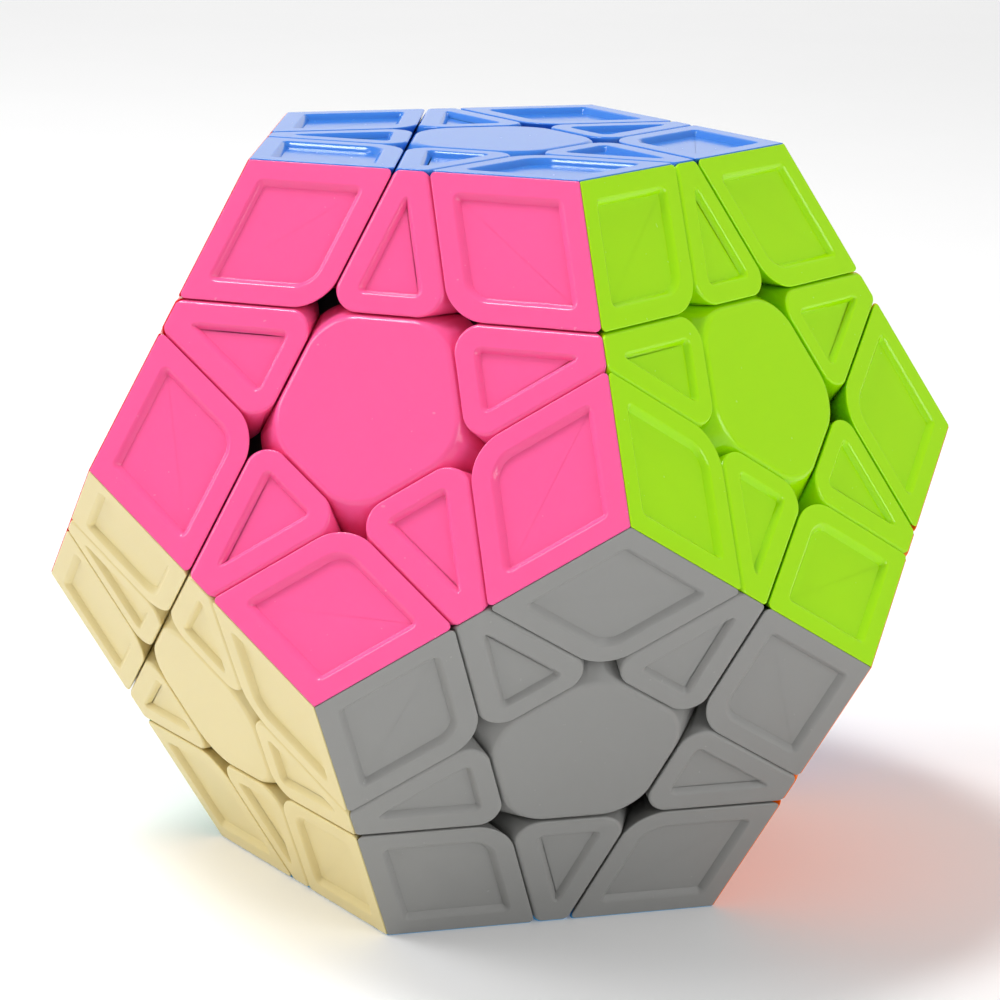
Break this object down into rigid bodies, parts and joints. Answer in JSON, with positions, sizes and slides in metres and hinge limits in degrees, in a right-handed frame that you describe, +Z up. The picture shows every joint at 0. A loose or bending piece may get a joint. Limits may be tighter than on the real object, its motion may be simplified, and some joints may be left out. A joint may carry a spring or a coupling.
{
  "type": "dodecahedron twisty puzzle",
  "caption": "Dodecahedral twisty puzzle in moulded coloured plastic; the layer under each face turns about a screw in a spider core.",
  "frame": {"origin": "middle of the bottom face, which the puzzle rests on", "axes": "+Z up through the opposite top face, which is blue; -Y towards the pink face, which leans up"},
  "size_m": [0.0822, 0.0866, 0.07],
  "materials": {
    "blue_plastic": "glossy moulded plastic",
    "pink_plastic": "glossy moulded plastic",
    "lime_plastic": "glossy moulded plastic",
    "yellow_plastic": "glossy moulded plastic",
    "white_plastic": "glossy moulded plastic",
    "red_plastic": "glossy moulded plastic",
    "grey_plastic": "satin moulded plastic",
    "orange_plastic": "glossy moulded plastic",
    "purple_plastic": "glossy moulded plastic",
    "green_plastic": "glossy moulded plastic",
    "cream_plastic": "satin moulded plastic",
    "lightblue_plastic": "glossy moulded plastic",
    "core_black": "satin moulded nylon",
    "screw_steel": "zinc plated"
  },
  "bodies": {
    "root": {"core": "core_black", "corner_green_cream_lightblue": "green_plastic", "corner_lime_yellow_orange": "lime_plastic", "corner_pink_red_cream": "pink_plastic", "corner_red_green_cream": "red_plastic", "corner_white_red_green": "white_plastic", "edge_cream_lightblue": "cream_plastic", "edge_green_cream": "green_plastic", "edge_green_lightblue": "green_plastic", "edge_lime_orange": "lime_plastic", "edge_lime_yellow": "lime_plastic", "edge_orange_lightblue": "orange_plastic", "edge_pink_cream": "pink_plastic", "edge_pink_lime": "pink_plastic", "edge_pink_red": "pink_plastic", "edge_red_cream": "red_plastic", "edge_red_green": "red_plastic", "edge_white_green": "white_plastic", "edge_white_red": "white_plastic", "edge_yellow_orange": "yellow_plastic", "edge_yellow_white": "yellow_plastic", "screw_blue": "screw_steel", "screw_grey": "screw_steel", "screw_purple": "screw_steel"},
    "blue_layer": {"centre_base_blue": "blue_plastic", "centre_cap_blue": "blue_plastic", "corner_blue_lime_yellow": "blue_plastic", "corner_blue_pink_lime": "blue_plastic", "corner_blue_pink_red": "blue_plastic", "corner_blue_white_red": "blue_plastic", "corner_blue_yellow_white": "blue_plastic", "edge_blue_lime": "blue_plastic", "edge_blue_pink": "blue_plastic", "edge_blue_red": "blue_plastic", "edge_blue_white": "blue_plastic", "edge_blue_yellow": "blue_plastic"},
    "grey_layer": {"centre_base_grey": "grey_plastic", "centre_cap_grey": "grey_plastic", "corner_grey_cream_lightblue": "grey_plastic", "corner_grey_orange_lightblue": "grey_plastic", "corner_lime_grey_orange": "lime_plastic", "corner_pink_grey_cream": "pink_plastic", "corner_pink_lime_grey": "pink_plastic", "edge_grey_cream": "grey_plastic", "edge_grey_lightblue": "grey_plastic", "edge_grey_orange": "grey_plastic", "edge_lime_grey": "lime_plastic", "edge_pink_grey": "pink_plastic"},
    "purple_layer": {"centre_base_purple": "purple_plastic", "centre_cap_purple": "purple_plastic", "corner_orange_purple_lightblue": "orange_plastic", "corner_purple_green_lightblue": "purple_plastic", "corner_white_purple_green": "white_plastic", "corner_yellow_orange_purple": "yellow_plastic", "corner_yellow_white_purple": "yellow_plastic", "edge_orange_purple": "orange_plastic", "edge_purple_green": "purple_plastic", "edge_purple_lightblue": "purple_plastic", "edge_white_purple": "white_plastic", "edge_yellow_purple": "yellow_plastic"}
  },
  "joints": [
    {"name": "blue_layer_turn", "type": "hinge", "parent": "root", "child": "blue_layer", "pos_m": [0, 0, 0.035], "axis": [0, 0, 1], "continuous": true},
    {"name": "grey_layer_turn", "type": "hinge", "parent": "root", "child": "grey_layer", "pos_m": [0, 0, 0.035], "axis": [0.5257, -0.7236, -0.4472], "continuous": true},
    {"name": "purple_layer_turn", "type": "hinge", "parent": "root", "child": "purple_layer", "pos_m": [0, 0, 0.035], "axis": [0, 0.8944, -0.4472], "continuous": true}
  ]
}
